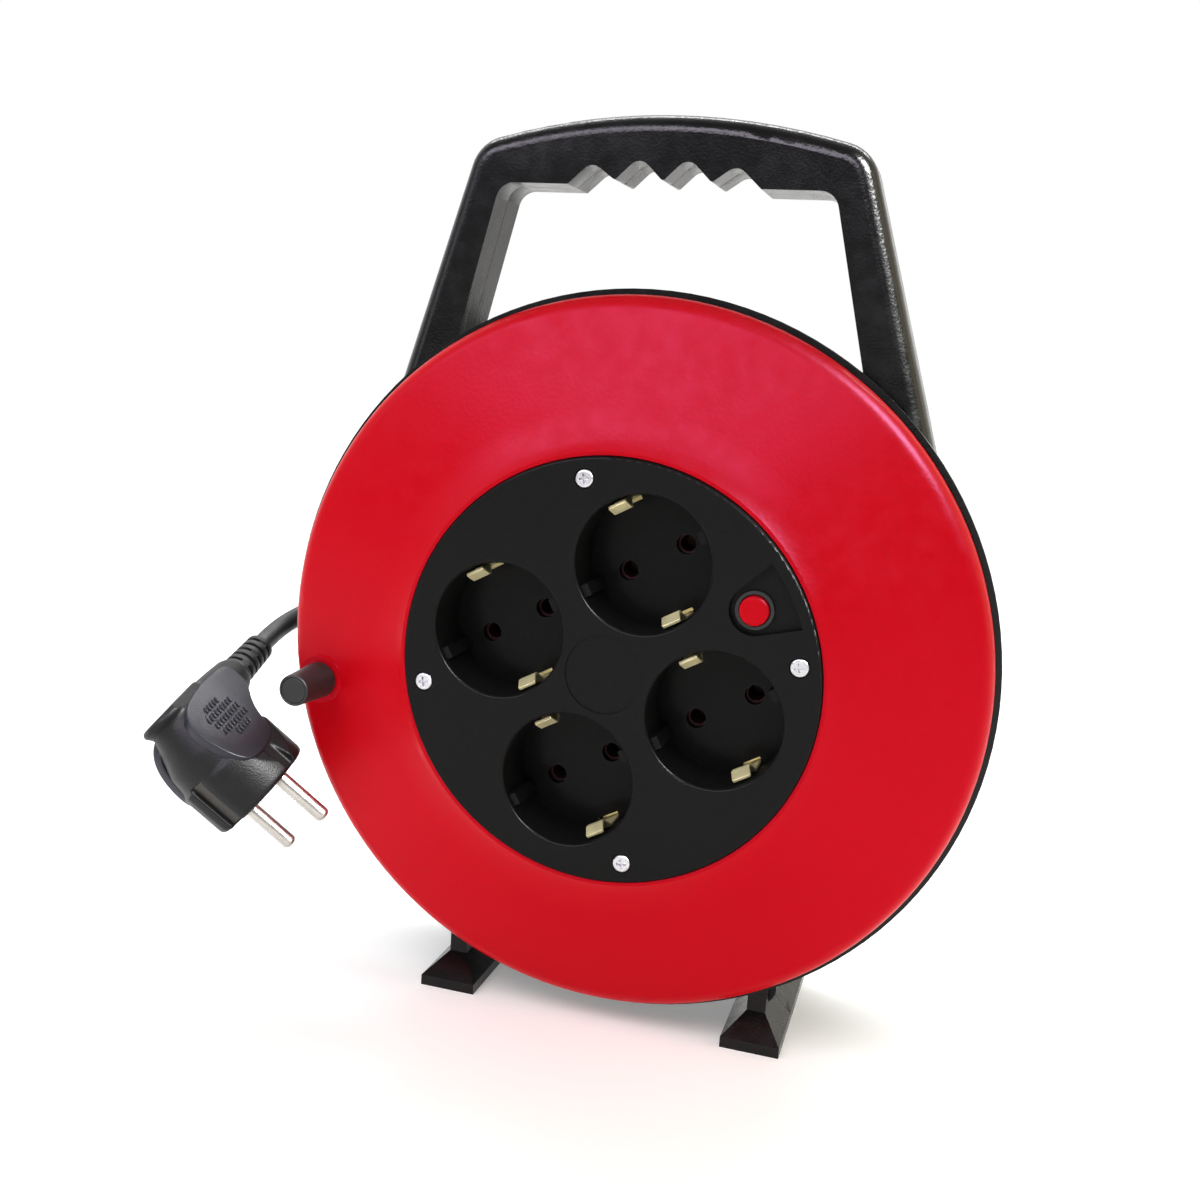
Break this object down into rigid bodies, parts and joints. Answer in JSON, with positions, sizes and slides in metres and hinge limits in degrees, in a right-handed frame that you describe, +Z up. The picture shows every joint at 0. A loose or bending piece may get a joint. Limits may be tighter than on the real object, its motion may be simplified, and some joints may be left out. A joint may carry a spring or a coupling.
{
  "type": "cable reel",
  "caption": "Round cable reel on two feet, with a carrying handle, a turning drum with recessed sockets and a crank knob, and a lead with an angled plug.",
  "frame": {"origin": "on the floor under the middle of the box that bounds the reel without its free cord and plug", "axes": "+X right as seen from the front, +Y from the front disc to the back of the housing along the drum's axis, +Z up to the handle"},
  "size_m": [0.2498, 0.0963, 0.2703],
  "materials": {
    "housing_black": "moulded, satin gloss",
    "disc_red": "moulded, glossy",
    "panel_black": "fine matt grain",
    "drum_grey": "plain moulded",
    "knob_black": "moulded, satin gloss",
    "button_red": "moulded, glossy",
    "screw_steel": "bright zinc plated",
    "spindle_steel": "turned",
    "spring_steel": "drawn wire",
    "brass": "stamped sheet",
    "nickel": "nickel plated",
    "cable_jacket": "smooth satin jacket",
    "soft_black": "soft moulded",
    "plug_grey": "satin moulded",
    "bush_white": "plain moulded",
    "carrier_plastic": "plain moulded",
    "breaker_plastic": "plain moulded",
    "wire_brown": "smooth",
    "wire_blue": "smooth",
    "wire_green": "smooth"
  },
  "bodies": {
    "root": {"front_housing": "housing_black", "rear_housing": "housing_black", "housing_screws": "screw_steel", "spindle": "spindle_steel", "thrust_washer": "spindle_steel", "retaining_screw": "screw_steel", "cable_outlet": "soft_black", "supply_cord": "cable_jacket", "strain_relief": "plug_grey", "plug_body": "plug_grey", "plug_pins": "nickel", "plug_earth_contacts": "nickel"},
    "drum": {"front_disc": "disc_red", "drum_core": "drum_grey", "bearing_bush": "bush_white", "socket_panel": "panel_black", "panel_screws": "screw_steel", "earth_clip_1": "brass", "earth_clip_2": "brass", "earth_clip_3": "brass", "earth_clip_4": "brass", "earth_bus": "brass", "live_rail": "brass", "neutral_rail": "brass", "contact_carrier": "carrier_plastic", "thermal_breaker": "breaker_plastic", "button_spring": "spring_steel", "cord_clamp": "carrier_plastic", "cable_winding": "cable_jacket", "inner_lead": "cable_jacket", "knob_pin": "spindle_steel", "clamp_screws": "screw_steel", "carrier_screws": "screw_steel", "live_wire": "wire_brown", "neutral_wire": "wire_blue", "earth_wire": "wire_green"},
    "crank": {"crank_knob": "knob_black", "knob_cap": "knob_black"},
    "button": {"reset_button": "button_red"}
  },
  "joints": [
    {"name": "drum_spin", "type": "hinge", "parent": "root", "child": "drum", "pos_m": [0, 0, 0.1131], "axis": [0, 1, 0], "continuous": true},
    {"name": "knob_spin", "type": "hinge", "parent": "drum", "child": "crank", "pos_m": [-0.0938, -0.0342, 0.0974], "axis": [0, 1, 0], "continuous": true},
    {"name": "reset_press", "type": "slide", "parent": "drum", "child": "button", "axis": [0, 1, 0], "range_m": [0, 0.002], "stiffness_N_per_m": 300, "springref_m": -0.002, "deforming": ["button_spring"]}
  ]
}
